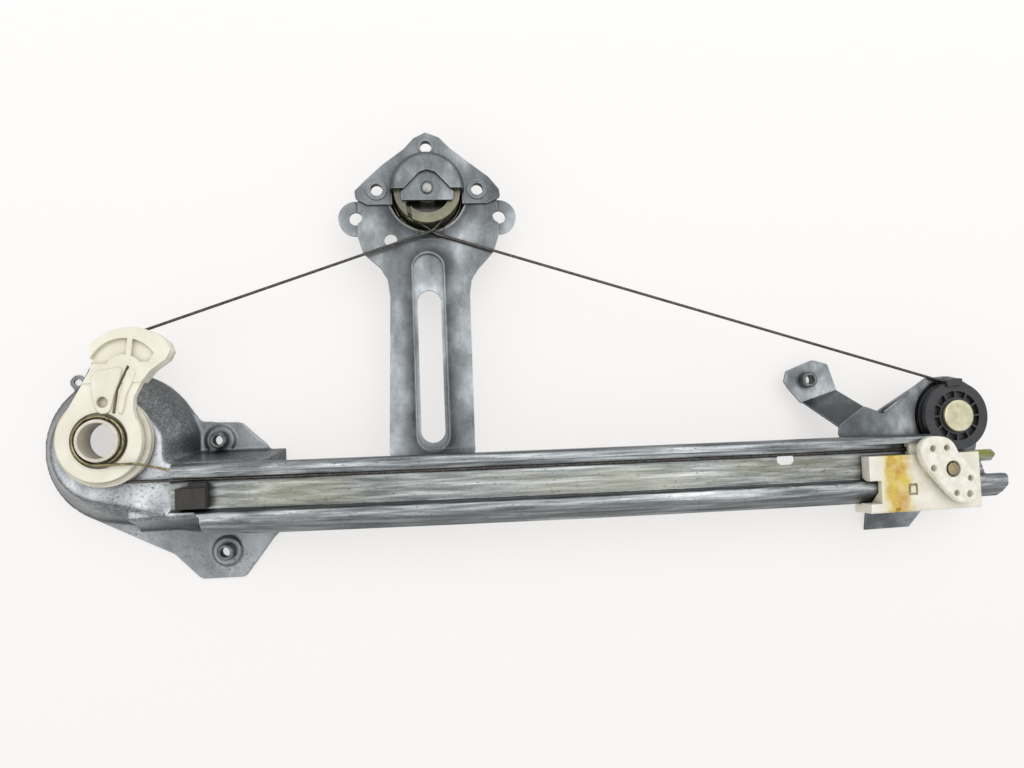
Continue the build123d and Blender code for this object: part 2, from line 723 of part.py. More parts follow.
def make_pulley_rivet():
    head_low = right_pulley_top + touch_gap
    tail = cup_floor - sheet
    shank = disc(0, 0, right_pin_r, tail - 0.8, head_low + 0.4)
    head = disc(0, 0, right_head_r, head_low, head_low + 2.0)
    head = fillet(head.edges().sort_by(Axis.Z)[-1], 0.7)
    return pulley_frame * (shank + head + disc(0, 0, right_pin_r + 1.4, tail - 1.4, tail))


# Glass carrier
def carrier_section():
    """A section of the carrier, open where the rail and the cable pass."""
    over_bead = flange_rise + slide_gap
    outside = [(-145.0, 4.7), (carrier_top_y, 4.7), (carrier_top_y, carrier_top),
               (carrier_low_y + 1, carrier_top), (carrier_low_y, carrier_top - 1),
               (carrier_low_y, carrier_bottom), (jaw_y, carrier_bottom)]
    round_flange = [(jaw_y, -0.1), (flange_low_y + 1.1, -flange_drop - 0.4), (flange_low_y - 0.8, -3.3),
                    (-171.0, 3.2), (-170.0, over_bead), (-164.0, over_bead)]
    over_web = [(web_low_y + 0.6, slide_gap), (web_top_y - 0.6, slide_gap)]
    round_cable = [(cable_y - 1.25, 0.15), (cable_y - 1.25, 2.3), (cable_y + 1.25, 2.3), (cable_y + 1.25, 0)]
    hook = [(-143.2, 0.0), (-143.2, 4.2)]
    return area(outside + round_flange + over_web + round_cable + hook)


def make_glass_carrier():
    body = along_rail(carrier_section(), carrier_left, carrier_right)
    body -= block(carrier_left - 9, ear_left, carrier_top_y, lip_y, 10, 60)
    body -= block(ear_right, carrier_right + 9, carrier_top_y, lip_y, 10, 60)
    seat = rail_frame(carrier_x)
    left = carrier_left - carrier_x
    notch = block(left - 1, left + 6.3, -176.0, web_low_y - 0.8, -3, 20)
    window = block(-10.2, -4.6, -172.2, -166.0, carrier_top - 2.4, 60)
    window -= block(-8.9, -5.9, -170.9, -167.3, 0, 60)
    relief = block(left + 14, left + 17, carrier_low_y - 1, carrier_low_y + 2.4, -20, 20)
    for cut in (notch, window, relief):
        body -= seat * cut
    for start in (ear_left + 1.6, ear_left + 8.2):
        body -= along_rail(Pos(cable_y, 0.8) * Rectangle(4.6, 4.4), start, start + 4.4)
    pin = Pos(clamp_x - carrier_x, clamp_y, 0)
    post = pin * disc(0, 0, clamp_pin_r + 2.4, 6, clamp_low - touch_gap)
    hole = pin * disc(0, 0, clamp_pin_r, 3.5, 60)
    return body + seat * post - seat * hole


def make_cable_end(x):
    """A crimped stop on the end of a cable, flat where it passes the rail's floor."""
    barrel = Pos(cable_y, cable_float) * Circle(2.0)
    barrel -= Pos(cable_y, -1.1) * Rectangle(6, 2.8)
    barrel -= Pos(cable_y, cable_float) * Circle(cable_d / 2 + 0.15)
    return along_rail(barrel, x, x + 3.8)


def hull_of_circles(circles):
    edges = [Pos(x, y) * Edge.make_circle(r) for x, y, r in circles]
    return make_hull(edges)


def make_glass_clamp():
    plan = hull_of_circles([(265.3, -151.0, 10.2), (282.0, -168.0, 9.6)])
    plate = prism(plan, clamp_low, clamp_top)
    plate = fillet(plate.edges().group_by(Axis.Z)[-1], 1.0)
    web = prism(offset(plan, -2.2), clamp_low - 1, clamp_low + 1.4)
    plate -= web
    for x, y, r in ((262.4, -147.1, 1.5), (272.5, -148.6, 1.5), (262.7, -159.0, 1.7), (275.6, -172.7, 1.5),
                    (284.2, -172.1, 1.7)):
        plate -= disc(x, y, r, 0, 60)
    boss = disc(clamp_x, clamp_y, clamp_pin_r + 2.4, clamp_low, clamp_top)
    plate = plate + boss - disc(clamp_x, clamp_y, clamp_pin_r + 0.06, 0, 60)
    plate -= disc(clamp_x, clamp_y, clamp_head_r + 0.4, clamp_top - 1.6, 60)
    return rail_frame(carrier_x) * (Pos(-carrier_x, 0, 0) * plate)


def make_clamp_pin():
    pin = disc(0, 0, clamp_pin_r, 3.6, clamp_top - 1.2)
    head = disc(0, 0, clamp_head_r, clamp_top - 1.3, clamp_top - 0.2)
    pin = pin + fillet(head.edges().sort_by(Axis.Z)[-1], 0.5)
    return rail_frame(carrier_x) * (Pos(clamp_x - carrier_x, clamp_y, 0) * pin)


# Cables: they keep their route, and the carrier slides along the stretch on the rail
def drum_tangent(point, side):
    """Angle where the cable from a point meets the drum, on its left or right side."""
    x, y = tangent_point((0, 0), drum_r, point, side)
    return degrees(atan2(y, x)) % 360


def left_tangent():
    """Angle of the straight stretch between the fan and the left pulley."""
    gap = hypot(pivot_x - fan_x, pivot_y - fan_y)
    line = degrees(atan2(pivot_y - fan_y, pivot_x - fan_x)) % 360
    return line - 90 + degrees(asin((fan_cable_r - left_cable_r) / gap))


def make_left_upper_cable():
    """From the drum, out of the well and across to the tensioner's fan."""
    z = upper_groove
    turn = (2.6, drum_turn_y, z)
    leave = drum_tangent(turn, 1)
    wrap = around((0, 0), drum_r, leave + 176, -176, z, 2)
    arrive = circle_point((fan_x, fan_y), fan_cable_r, 108.1, left_groove_z)
    start = circle_point((0, 0), drum_r, leave + 176, z)
    points = [start] + wrap + [turn, arrive]
    path = FilletPolyline(*points, radius=[drum_r * 0.97] * 2 + [9.0])
    return tube(path, cable_d)


def make_fan_cable():
    """Round the fan's edge."""
    low = left_tangent()
    start = circle_point((fan_x, fan_y), fan_cable_r, 109.2, left_groove_z)
    middle = circle_point((fan_x, fan_y), fan_cable_r, (109.2 + low) / 2, left_groove_z)
    end = circle_point((fan_x, fan_y), fan_cable_r, low, left_groove_z)
    return tube(ThreePointArc(start, middle, end), cable_d)


def make_left_lower_cable():
    """Straight from the fan to the left pulley."""
    low = left_tangent()
    start = circle_point((fan_x, fan_y), fan_cable_r, low, left_groove_z)
    end = circle_point((pivot_x, pivot_y), left_cable_r, low, left_groove_z)
    step = (Vector(*end) - Vector(*start)) * 0.01
    return tube(Line(Vector(*start) + step, Vector(*end) - step), cable_d)


def make_rail_cable():
    """Round the left pulley and along the rail to its end in the carrier."""
    low = left_tangent()
    center = (pivot_x, pivot_y)
    start = circle_point(center, left_cable_r, low, left_groove_z)
    middle = circle_point(center, left_cable_r, (low + 270) / 2, left_groove_z)
    end = (pivot_x, cable_y, left_groove_z)
    arc_r = rail_radius + cable_float
    bend_z = left_groove_z + bend_r
    bend_x = crown_x - sqrt((arc_r + bend_r) ** 2 - (bend_z - axis_z) ** 2)
    meet = Vector(bend_x - crown_x, 0, bend_z - axis_z).normalized()
    half = Vector(bend_x - crown_x, 0, bend_z - axis_z + 2 * (arc_r + bend_r)).normalized()
    hub = Vector(crown_x, cable_y, axis_z)
    stop = radians(rail_turn(ear_left + 3.0))
    run_start = hub + meet * arc_r
    run_middle = Vector(crown_x, cable_y, axis_z + arc_r)
    run_end = hub + Vector(sin(stop), 0, cos(stop)) * arc_r
    bend_middle = Vector(bend_x, cable_y, bend_z) - half * bend_r
    bend_low = (bend_x, cable_y, left_groove_z)
    path = Wire([ThreePointArc(start, middle, end).edge(), Line(end, bend_low).edge(),
                 ThreePointArc(bend_low, bend_middle, run_start).edge(),
                 ThreePointArc(run_start, run_middle, run_end).edge()])
    return tube(path, cable_d)


def make_right_cable():
    """From the carrier round the right pulley and back to the drum."""
    z = upper_groove - groove_pitch
    turn = (4.0, drum_turn_y - 1.4, z)
    top = tangent_point((right_pulley_x, right_pulley_y), right_cable_r, turn, -1)
    leave_pulley = degrees(atan2(top[1] - right_pulley_y, top[0] - right_pulley_x))
    near_x = ear_left + 11.0
    local = [circle_point((0, 0), right_cable_r, -90, 0)]
    local += around((0, 0), right_cable_r, -90, leave_pulley + 90, 0, 2)
    local.append(circle_point((0, 0), right_cable_r, leave_pulley, 0))
    points = [(near_x, cable_y, rail_z(near_x) + cable_float)]
    points += [tuple((pulley_frame * Pos(*p)).position) for p in local]
    leave = drum_tangent(turn, -1)
    points += [turn] + around((0, 0), drum_r, leave, -176, z, 2)
    points.append(circle_point((0, 0), drum_r, leave - 176, z))
    wrap_r = right_cable_r * 0.97
    radii = [12.0, wrap_r, wrap_r, 12.0, 9.0] + [drum_r * 0.97] * 2
    return tube(FilletPolyline(*points, radius=radii), cable_d)


nodes = {
    "guide_rail": make_guide_rail,
    "bump_stop": make_bump_stop,
    "drive_bracket": make_drive_bracket,
    "drum_cover": make_drum_cover,
    "cover_eyelets": make_cover_eyelets,
    "axle_pin": make_axle_pin,
    "crank_spindle": make_crank_spindle,
    "brake_cup": make_brake_cup,
    "brake_spring": make_brake_spring,
    "cable_drum": make_cable_drum,
    "left_bracket": make_left_bracket,
    "threaded_bushes": make_threaded_bushes,
    "pivot_tube": make_pivot_tube,
    "left_pulley": make_left_pulley,
    "tensioner_lever": make_tensioner_lever,
    "tensioner_spring": make_tensioner_spring,
    "right_bracket": make_right_bracket,
    "pulley_guard": make_pulley_guard,
    "right_pulley": make_right_pulley,
    "pulley_rivet": make_pulley_rivet,
    "glass_carrier": make_glass_carrier,
    "glass_clamp": make_glass_clamp,
    "clamp_pin": make_clamp_pin,
    "left_upper_cable": make_left_upper_cable,
    "fan_cable": make_fan_cable,
    "left_lower_cable": make_left_lower_cable,
    "rail_cable": make_rail_cable,
    "right_cable": make_right_cable,
}

os.makedirs("parts", exist_ok=True)
for name, make in nodes.items():
    export_step(make(), f"parts/{name}.step")
for side, start in (("left", ear_left + 1.9), ("right", ear_left + 8.5)):
    export_step(make_cable_end(start), f"parts/{side}_cable_end.step")
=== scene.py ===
import bpy
import bmesh
import json
from math import cos, radians, sin
from mathutils import Matrix, Vector
from mathutils.bvhtree import BVHTree


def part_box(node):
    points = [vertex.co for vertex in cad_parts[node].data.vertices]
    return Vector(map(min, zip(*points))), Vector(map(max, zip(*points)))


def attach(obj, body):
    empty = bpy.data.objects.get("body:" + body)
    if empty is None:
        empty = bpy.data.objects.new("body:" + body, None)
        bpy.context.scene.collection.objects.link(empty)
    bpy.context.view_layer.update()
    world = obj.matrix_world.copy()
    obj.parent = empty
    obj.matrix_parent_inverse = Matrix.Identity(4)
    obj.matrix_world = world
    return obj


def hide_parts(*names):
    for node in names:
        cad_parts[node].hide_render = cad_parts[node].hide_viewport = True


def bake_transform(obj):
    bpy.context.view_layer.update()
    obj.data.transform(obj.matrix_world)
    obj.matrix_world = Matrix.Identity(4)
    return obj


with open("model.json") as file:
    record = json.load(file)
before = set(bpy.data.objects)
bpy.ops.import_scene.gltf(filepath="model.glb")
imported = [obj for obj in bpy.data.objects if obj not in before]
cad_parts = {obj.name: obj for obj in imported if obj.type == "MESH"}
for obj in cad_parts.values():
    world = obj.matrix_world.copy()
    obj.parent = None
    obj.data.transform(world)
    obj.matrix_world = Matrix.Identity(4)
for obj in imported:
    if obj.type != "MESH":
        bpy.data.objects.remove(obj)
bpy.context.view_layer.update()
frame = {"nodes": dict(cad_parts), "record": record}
bodyOf = {n: b for b, members in frame["record"]["behaviour"]["bodies"].items() for n in members}


# Small helpers used by every piece
def hexColour(code):
    # sRGB hex to the linear colour that the shader wants
    values = [int(code[i:i + 2], 16) / 255 for i in (1, 3, 5)]
    return (*[v / 12.92 if v <= 0.04045 else ((v + 0.055) / 1.055) ** 2.4 for v in values], 1)


def addNode(tree, kind, settings=None, links=None):
    # settings go to sockets by name or to the node itself, links join a socket to another node's output
    node = tree.nodes.new(kind)
    for key, value in (settings or {}).items():
        if isinstance(key, int) or key in node.inputs:
            node.inputs[key].default_value = value
        else:
            setattr(node, key, value)
    for key, output in (links or {}).items():
        tree.links.new(output, node.inputs[key])
    return node


def mixColours(tree, amount, first, second):
    # first and second are colours or outputs
    node = tree.nodes.new("ShaderNodeMix")
    node.data_type = "RGBA"
    for socket, value in ((0, amount), (6, first), (7, second)):
        if isinstance(value, bpy.types.NodeSocket):
            tree.links.new(value, node.inputs[socket])
        else:
            node.inputs[socket].default_value = value
    return node.outputs[2]


def rampOf(tree, source, stops):
    node = addNode(tree, "ShaderNodeValToRGB", None, {"Fac": source})
    ramp = node.color_ramp
    while len(ramp.elements) < len(stops):
        ramp.elements.new(0.5)
    for element, (place, colour) in zip(ramp.elements, stops):
        element.position = place
        element.color = hexColour(colour)
    return node.outputs["Color"]


def newMaterial(name):
    material = bpy.data.materials.new(name)
    material.use_nodes = True
    tree = material.node_tree
    tree.nodes.clear()
    shader = addNode(tree, "ShaderNodeBsdfPrincipled")
    addNode(tree, "ShaderNodeOutputMaterial", None, {"Surface": shader.outputs[0]})
    place = addNode(tree, "ShaderNodeTexCoord").outputs["Object"]
    return material, tree, shader, place


def noiseOf(tree, place, grainMm, detail=4.0, stretch=(1, 1, 1), rough=0.55, turn=(0, 0, 0)):
    # a noise whose lumps are about grainMm across, longer along an axis with a small stretch
    mapped = addNode(tree, "ShaderNodeMapping", {"Scale": stretch, "Rotation": turn}, {"Vector": place})
    settings = {"Scale": 1000 / grainMm, "Detail": detail, "Roughness": rough}
    return addNode(tree, "ShaderNodeTexNoise", settings, {"Vector": mapped.outputs[0]}).outputs["Fac"]


def bumpOf(tree, height, depthMm, strength=0.5):
    settings = {"Strength": strength, "Distance": depthMm / 1000}
    return addNode(tree, "ShaderNodeBump", settings, {"Height": height}).outputs[0]


def limitOf(tree, source, low, high, lowTo=0.0, highTo=1.0):
    settings = {"From Min": low, "From Max": high, "To Min": lowTo, "To Max": highTo}
    return addNode(tree, "ShaderNodeMapRange", settings, {"Value": source}).outputs[0]


def timesOf(tree, source, factor):
    # factor is a number or another output
    node = addNode(tree, "ShaderNodeMath", {"operation": "MULTIPLY", 1: 1.0}, {0: source})
    if isinstance(factor, bpy.types.NodeSocket):
        tree.links.new(factor, node.inputs[1])
    else:
        node.inputs[1].default_value = factor
    return node.outputs[0]


def lengthOf(tree, x, y):
    flat = addNode(tree, "ShaderNodeCombineXYZ", None, {"X": x, "Y": y}).outputs[0]
    return addNode(tree, "ShaderNodeVectorMath", {"operation": "LENGTH"}, {0: flat}).outputs["Value"]


def slopeOf(tree, steep=0.62):
    # 0 on faces that look straight up or down, 1 where the normal's height is steep or less
    normal = addNode(tree, "ShaderNodeTexCoord").outputs["Normal"]
    height = addNode(tree, "ShaderNodeSeparateXYZ", None, {"Vector": normal}).outputs["Z"]
    height = addNode(tree, "ShaderNodeMath", {"operation": "ABSOLUTE"}, {0: height}).outputs[0]
    return limitOf(tree, height, steep, 0.992, 1.0, 0.0)


def edgesOf(tree, radiusMm, low=0.02, high=0.22):
    # 1 where the sheet turns round an edge, from the difference between a softened and the true normal
    soft = addNode(tree, "ShaderNodeBevel", {"Radius": radiusMm / 1000, "samples": 6}).outputs[0]
    true = addNode(tree, "ShaderNodeNewGeometry").outputs["True Normal"]
    same = addNode(tree, "ShaderNodeVectorMath", {"operation": "DOT_PRODUCT"}, {0: soft, 1: true})
    return limitOf(tree, same.outputs["Value"], 1 - high, 1 - low, 1.0, 0.0)


def shadeAndDirtIn(tree, reachMm):
    # 1 in corners, 0 on open faces, from ambient occlusion: it places painted shade, with dirt, in corners
    node = addNode(tree, "ShaderNodeAmbientOcclusion", {"Distance": reachMm / 1000, "samples": 6})
    return limitOf(tree, node.outputs["AO"], 0.35, 0.9, 1.0, 0.0)


# Camera, floor and light, as in the photograph
cameraView = {
    "place": (-0.0008, -0.1272, 0.4629),
    "yaw": 5.565,
    "pitch": -2.953,
    "roll": 2.178,
    "lens": 28.95,
}


def makeCamera():
    camera = bpy.data.cameras.new("camera")
    camera.lens = cameraView["lens"]
    camera.sensor_width = 36
    camera.clip_start = 0.01
    holder = bpy.data.objects.new("camera", camera)
    bpy.context.scene.collection.objects.link(holder)
    turn = Matrix.Rotation(radians(cameraView["roll"]), 3, "Z") @ \
        Matrix.Rotation(radians(cameraView["pitch"]), 3, "X") @ \
        Matrix.Rotation(radians(cameraView["yaw"]), 3, "Y")
    holder.matrix_world = Matrix.Translation(cameraView["place"]) @ turn.transposed().to_4x4()
    bpy.context.scene.camera = holder


floorLook = {"colour": "#fdfcfb", "low": "#f7f5f3", "shadeFade": (-0.40, 0.12), "size": 6.0, "drop": 0.0004,
             "glow": 0.66, "rough": 0.9, "gloss": 0.1}
lightLook = {"world": 0.66, "aim": (0.05, -0.1, 0),
             "key": 12.0, "keySize": 1.5, "keyPlace": (0.35, 0.55, 1.5),
             "fill": 3.0, "fillSize": 1.2, "fillPlace": (-0.9, -0.7, 1.1)}


def makeStage():
    shape = bmesh.new()
    bmesh.ops.create_grid(shape, x_segments=1, y_segments=1, size=floorLook["size"] / 2)
    mesh = bpy.data.meshes.new("floor")
    shape.to_mesh(mesh)
    shape.free()
    floor = bpy.data.objects.new("floor", mesh)
    floor.location = (0, 0, -floorLook["drop"])
    bpy.context.scene.collection.objects.link(floor)
    material, tree, shader, place = newMaterial("paperFloor")
    split = addNode(tree, "ShaderNodeSeparateXYZ", None, {"Vector": place})
    # painted shade: the floor darkens towards the bottom, as the light falls off
    along = limitOf(tree, split.outputs["Y"], *floorLook["shadeFade"])
    colour = mixColours(tree, along, hexColour(floorLook["low"]), hexColour(floorLook["colour"]))
    tree.links.new(colour, shader.inputs["Base Color"])
    shader.inputs["Roughness"].default_value = floorLook["rough"]
    shader.inputs["Specular IOR Level"].default_value = floorLook["gloss"]
    rays = addNode(tree, "ShaderNodeLightPath").outputs["Is Camera Ray"]
    glow = addNode(tree, "ShaderNodeEmission", None, {"Color": colour})
    both = addNode(tree, "ShaderNodeMixShader", None, {0: timesOf(tree, rays, floorLook["glow"]),
                                                       1: shader.outputs[0], 2: glow.outputs[0]})
    output = [node for node in tree.nodes if node.type == "OUTPUT_MATERIAL"][0]
    tree.links.new(both.outputs[0], output.inputs["Surface"])
    mesh.materials.append(material)
    world = bpy.data.worlds.new("studio")
    bpy.context.scene.world = world
    world.use_nodes = True
    tree = world.node_tree
    tree.nodes.clear()
    rays = addNode(tree, "ShaderNodeLightPath")
    seen = addNode(tree, "ShaderNodeMath", {"operation": "MAXIMUM"},
                   {0: rays.outputs["Is Camera Ray"], 1: rays.outputs["Is Glossy Ray"]})
    seen = addNode(tree, "ShaderNodeMath", {"operation": "MAXIMUM"},
                   {0: seen.outputs[0], 1: rays.outputs["Is Transmission Ray"]})
    strength = limitOf(tree, seen.outputs[0], 0, 1, lightLook["world"], 1.0)
    back = addNode(tree, "ShaderNodeBackground", {"Color": (1, 1, 1, 1)}, {"Strength": strength})
    addNode(tree, "ShaderNodeOutputWorld", None, {"Surface": back.outputs[0]})
    addLamp("key", lightLook["key"], lightLook["keySize"], lightLook["keyPlace"])
    addLamp("fill", lightLook["fill"], lightLook["fillSize"], lightLook["fillPlace"])


def addLamp(name, power, size, place):
    lamp = bpy.data.lights.new(name, "AREA")
    lamp.energy = power
    lamp.size = size
    holder = bpy.data.objects.new(name, lamp)
    aim = (Vector(lightLook["aim"]) - Vector(place)).to_track_quat("-Z", "Y")
    holder.matrix_world = Matrix.Translation(place) @ aim.to_matrix().to_4x4()
    bpy.context.scene.collection.objects.link(holder)


makeCamera()
makeStage()
print("camera, floor and light made")


# Materials
# Zinc plated pressed steel: painted shade on the slopes, cloudy bright where the press drew it, fine dark
# specks, painted highlight with rubbed wear on the edges, painted shade with grime in corners
zincLook = {
    "dark": "#535759", "middle": "#707578", "light": "#919699", "shine": "#d3d6d9",
    "slopeShade": "#464a4c", "speck": "#3a3d3e", "edge": "#b9bdc0", "shadeAndGrime": "#24282a",
    "metal": 0.8, "rough": 0.36,
    "cloudMm": 24, "blotchMm": 9, "blotchShare": 0.5,
    "steep": 0.66, "slopeShadeShare": 0.75,
    "speckMm": 1.6, "speckTo": 0.42, "speckPatchMm": 17, "speckShare": 0.55,
    "gritMm": 1.5, "gritShare": 0.0,
    "edgeMm": 1.1, "edgeHighlightAndWearShare": 0.4,
    "shadeAndGrimeMm": 6, "shadeAndGrimeShare": 0.72,
    "grainMm": 2.5, "grainDepthMm": 0.14,
}


def makeZincSteel(name="zincPlatedPressing", changes=None, turn=0.0, shade=None):
    look = {**zincLook, **(changes or {})}
    material, tree, shader, place = newMaterial(name)
    clouds = noiseOf(tree, place, look["cloudMm"], 5, (1, 0.6, 1), 0.6, (0, 0, turn))
    colour = rampOf(tree, clouds, [(0.34, look["dark"]), (0.48, look["middle"]), (0.60, look["light"]),
                                   (0.76, look["shine"])])
    blotches = noiseOf(tree, place, look["blotchMm"], 5, (1, 0.75, 1), 0.6, (0, 0, turn))
    bright = timesOf(tree, limitOf(tree, blotches, 0.50, 0.70), limitOf(tree, clouds, 0.44, 0.60))
    colour = mixColours(tree, timesOf(tree, bright, look["blotchShare"]), colour, hexColour(look["shine"]))
    # painted shade on the steep faces, where the pressed walls would reflect dark
    paintedSlopeShade = timesOf(tree, slopeOf(tree, look["steep"]), look["slopeShadeShare"])
    colour = mixColours(tree, paintedSlopeShade, colour, hexColour(look["slopeShade"]))
    specks = noiseOf(tree, place, look["speckMm"], 4, rough=0.75)
    specks = limitOf(tree, specks, look["speckTo"] - 0.07, look["speckTo"], 1, 0)
    patches = limitOf(tree, noiseOf(tree, place, look["speckPatchMm"], 3), 0.42, 0.62, 0.15, 1.0)
    patches = timesOf(tree, patches, look["speckShare"])
    colour = mixColours(tree, timesOf(tree, specks, patches), colour, hexColour(look["speck"]))
    if look["gritShare"]:
        flakes = limitOf(tree, noiseOf(tree, place, look["gritMm"], 4, rough=0.8), 0.50, 0.60)
        colour = mixColours(tree, timesOf(tree, flakes, look["gritShare"]), colour, hexColour(look["light"]))
    if shade:
        colour = shade(tree, place, colour)
    # painted highlight with rubbed wear along the edges
    edges = timesOf(tree, edgesOf(tree, look["edgeMm"]), look["edgeHighlightAndWearShare"])
    colour = mixColours(tree, edges, colour, hexColour(look["edge"]))
    # painted shade with grime in the corners
    shadeAndGrime = timesOf(tree, shadeAndDirtIn(tree, look["shadeAndGrimeMm"]), look["shadeAndGrimeShare"])
    colour = mixColours(tree, shadeAndGrime, colour, hexColour(look["shadeAndGrime"]))
    tree.links.new(colour, shader.inputs["Base Color"])
    tree.links.new(limitOf(tree, clouds, 0.3, 0.7, look["rough"] + 0.12, look["rough"] - 0.08),
                   shader.inputs["Roughness"])
    shader.inputs["Metallic"].default_value = look["metal"]
    grain = noiseOf(tree, place, look["grainMm"], 5)
    tree.links.new(bumpOf(tree, grain, look["grainDepthMm"], 0.4), shader.inputs["Normal"])
    return material


# Painted shade in a band round the arm's slot and round the drum's well, where the sheet was drawn down
armShade = {
    "dark": "#26292b",
    "band": 0.0075,
    "slotX": -0.0007,
    "slotHalf": 0.0094,
    "slotMid": -0.0855,
    "slotReach": 0.0447,
    "well": 0.0225,
    "fadeIn": (0.0012, 0.0002),
    "wanderMm": 14,
}


def shadeArm(tree, place, colour):
    look = armShade
    split = addNode(tree, "ShaderNodeSeparateXYZ", None, {"Vector": place}).outputs
    side = addNode(tree, "ShaderNodeMath", {"operation": "SUBTRACT", 1: look["slotX"]}, {0: split["X"]})
    along = addNode(tree, "ShaderNodeMath", {"operation": "SUBTRACT", 1: look["slotMid"]}, {0: split["Y"]})
    along = addNode(tree, "ShaderNodeMath", {"operation": "ABSOLUTE"}, {0: along.outputs[0]})
    along = limitOf(tree, along.outputs[0], look["slotReach"], look["slotReach"] + 0.1, 0.0, 0.1)
    slot = lengthOf(tree, side.outputs[0], along)
    well = lengthOf(tree, split["X"], split["Y"])
    wander = limitOf(tree, noiseOf(tree, place, look["wanderMm"], 3), 0.3, 0.7, 0.65, 1.0)
    for distance, edge in ((slot, look["slotHalf"]), (well, look["well"])):
        outer = limitOf(tree, distance, edge, edge + look["band"], 1.0, 0.0)
        inner = limitOf(tree, distance, edge - look["fadeIn"][0], edge - look["fadeIn"][1], 0.0, 1.0)
        band = timesOf(tree, timesOf(tree, outer, inner), wander)
        colour = mixColours(tree, band, colour, hexColour(look["dark"]))
    return colour


# The left bracket is painted darker low down, on its flange, than on the drawn pan above it
panShade = {"flange": "#5f6366", "flangeTop": 0.005, "panFoot": 0.014, "share": 0.62}


def shadePan(tree, place, colour):
    height = addNode(tree, "ShaderNodeSeparateXYZ", None, {"Vector": place}).outputs["Z"]
    low = limitOf(tree, height, panShade["flangeTop"], panShade["panFoot"], panShade["share"], 0.0)
    return mixColours(tree, low, colour, hexColour(panShade["flange"]))


# Rolled zinc plated steel: long streaks along the rail, a film of grease on the web, painted shade on the
# slopes, painted highlight with rubbed wear on the edges, painted shade with grime in corners
railLook = {
    "dark": "#5e6263", "middle": "#84888a", "light": "#abafb0", "shine": "#e0e2e3",
    "slopeShade": "#4b4f51", "slopeShadeShare": 0.6,
    "grease": "#9a9774", "webLow": (-0.1635, -0.1615), "webTop": (-0.1505, -0.1490),
    "pit": "#3d4142", "pitMm": 1.2,
    "smear": "#84883a", "smearMm": 4, "smearX": (0.2955, 0.2990), "smearY": (-0.1560, -0.1520),
    "edge": "#c6cacc", "edgeMm": 0.9, "edgeHighlightAndWearShare": 0.5,
    "shadeAndGrime": "#222423", "shadeAndGrimeMm": 4, "shadeAndGrimeShare": 0.85,
    "metal": 0.8, "rough": 0.3,
    "streakMm": 2.4, "streakStretch": 0.045, "patchMm": 30, "grainDepthMm": 0.1,
}


def makeRailSteel():
    look = railLook
    material, tree, shader, place = newMaterial("rolledRailSteel")
    streaks = noiseOf(tree, place, look["streakMm"], 6, (look["streakStretch"], 1, 1), 0.6)
    patches = noiseOf(tree, place, look["patchMm"], 4, (0.45, 1, 1))
    colour = rampOf(tree, streaks, [(0.36, look["dark"]), (0.48, look["middle"]), (0.60, look["light"]),
                                    (0.74, look["shine"])])
    split = addNode(tree, "ShaderNodeSeparateXYZ", None, {"Vector": place}).outputs
    onWeb = timesOf(tree, limitOf(tree, split["Y"], *look["webLow"]),
                    limitOf(tree, split["Y"], *look["webTop"], 1, 0))
    # painted shade on the steep faces of the rail
    paintedSlopeShade = timesOf(tree, slopeOf(tree), look["slopeShadeShare"])
    colour = mixColours(tree, paintedSlopeShade, colour, hexColour(look["slopeShade"]))
    film = timesOf(tree, limitOf(tree, patches, 0.40, 0.62, 0.06, 0.40), onWeb)
    colour = mixColours(tree, film, colour, hexColour(look["grease"]))
    pits = noiseOf(tree, place, look["pitMm"], 4, (0.5, 1, 1), 0.75)
    colour = mixColours(tree, limitOf(tree, pits, 0.33, 0.42, 0.75, 0), colour, hexColour(look["pit"]))
    smear = timesOf(tree, limitOf(tree, split["X"], *look["smearX"]),
                    limitOf(tree, split["Y"], *look["smearY"]))
    lumps = noiseOf(tree, place, look["smearMm"], 4)
    smear = timesOf(tree, smear, limitOf(tree, lumps, 0.38, 0.52, 0.2, 0.9))
    colour = mixColours(tree, smear, colour, hexColour(look["smear"]))
    # painted highlight with rubbed wear along the edges
    edges = timesOf(tree, edgesOf(tree, look["edgeMm"]), look["edgeHighlightAndWearShare"])
    colour = mixColours(tree, edges, colour, hexColour(look["edge"]))
    # painted shade with grime in the corners
    shadeAndGrime = timesOf(tree, shadeAndDirtIn(tree, look["shadeAndGrimeMm"]), look["shadeAndGrimeShare"])
    colour = mixColours(tree, shadeAndGrime, colour, hexColour(look["shadeAndGrime"]))
    tree.links.new(colour, shader.inputs["Base Color"])
    tree.links.new(limitOf(tree, patches, 0.3, 0.7, look["rough"] + 0.1, look["rough"] - 0.08),
                   shader.inputs["Roughness"])
    shader.inputs["Metallic"].default_value = look["metal"]
    tree.links.new(bumpOf(tree, streaks, look["grainDepthMm"], 0.4), shader.inputs["Normal"])
    return material


# Moulded nylon and acetal: a little light goes into them, mould texture is fine and even, painted shade with
# dirt in corners
plasticLook = {"shadeAndDirtMm": 3, "grainMm": 1.2, "grainDepthMm": 0.05, "glowReach": (0.002, 0.0016, 0.001)}


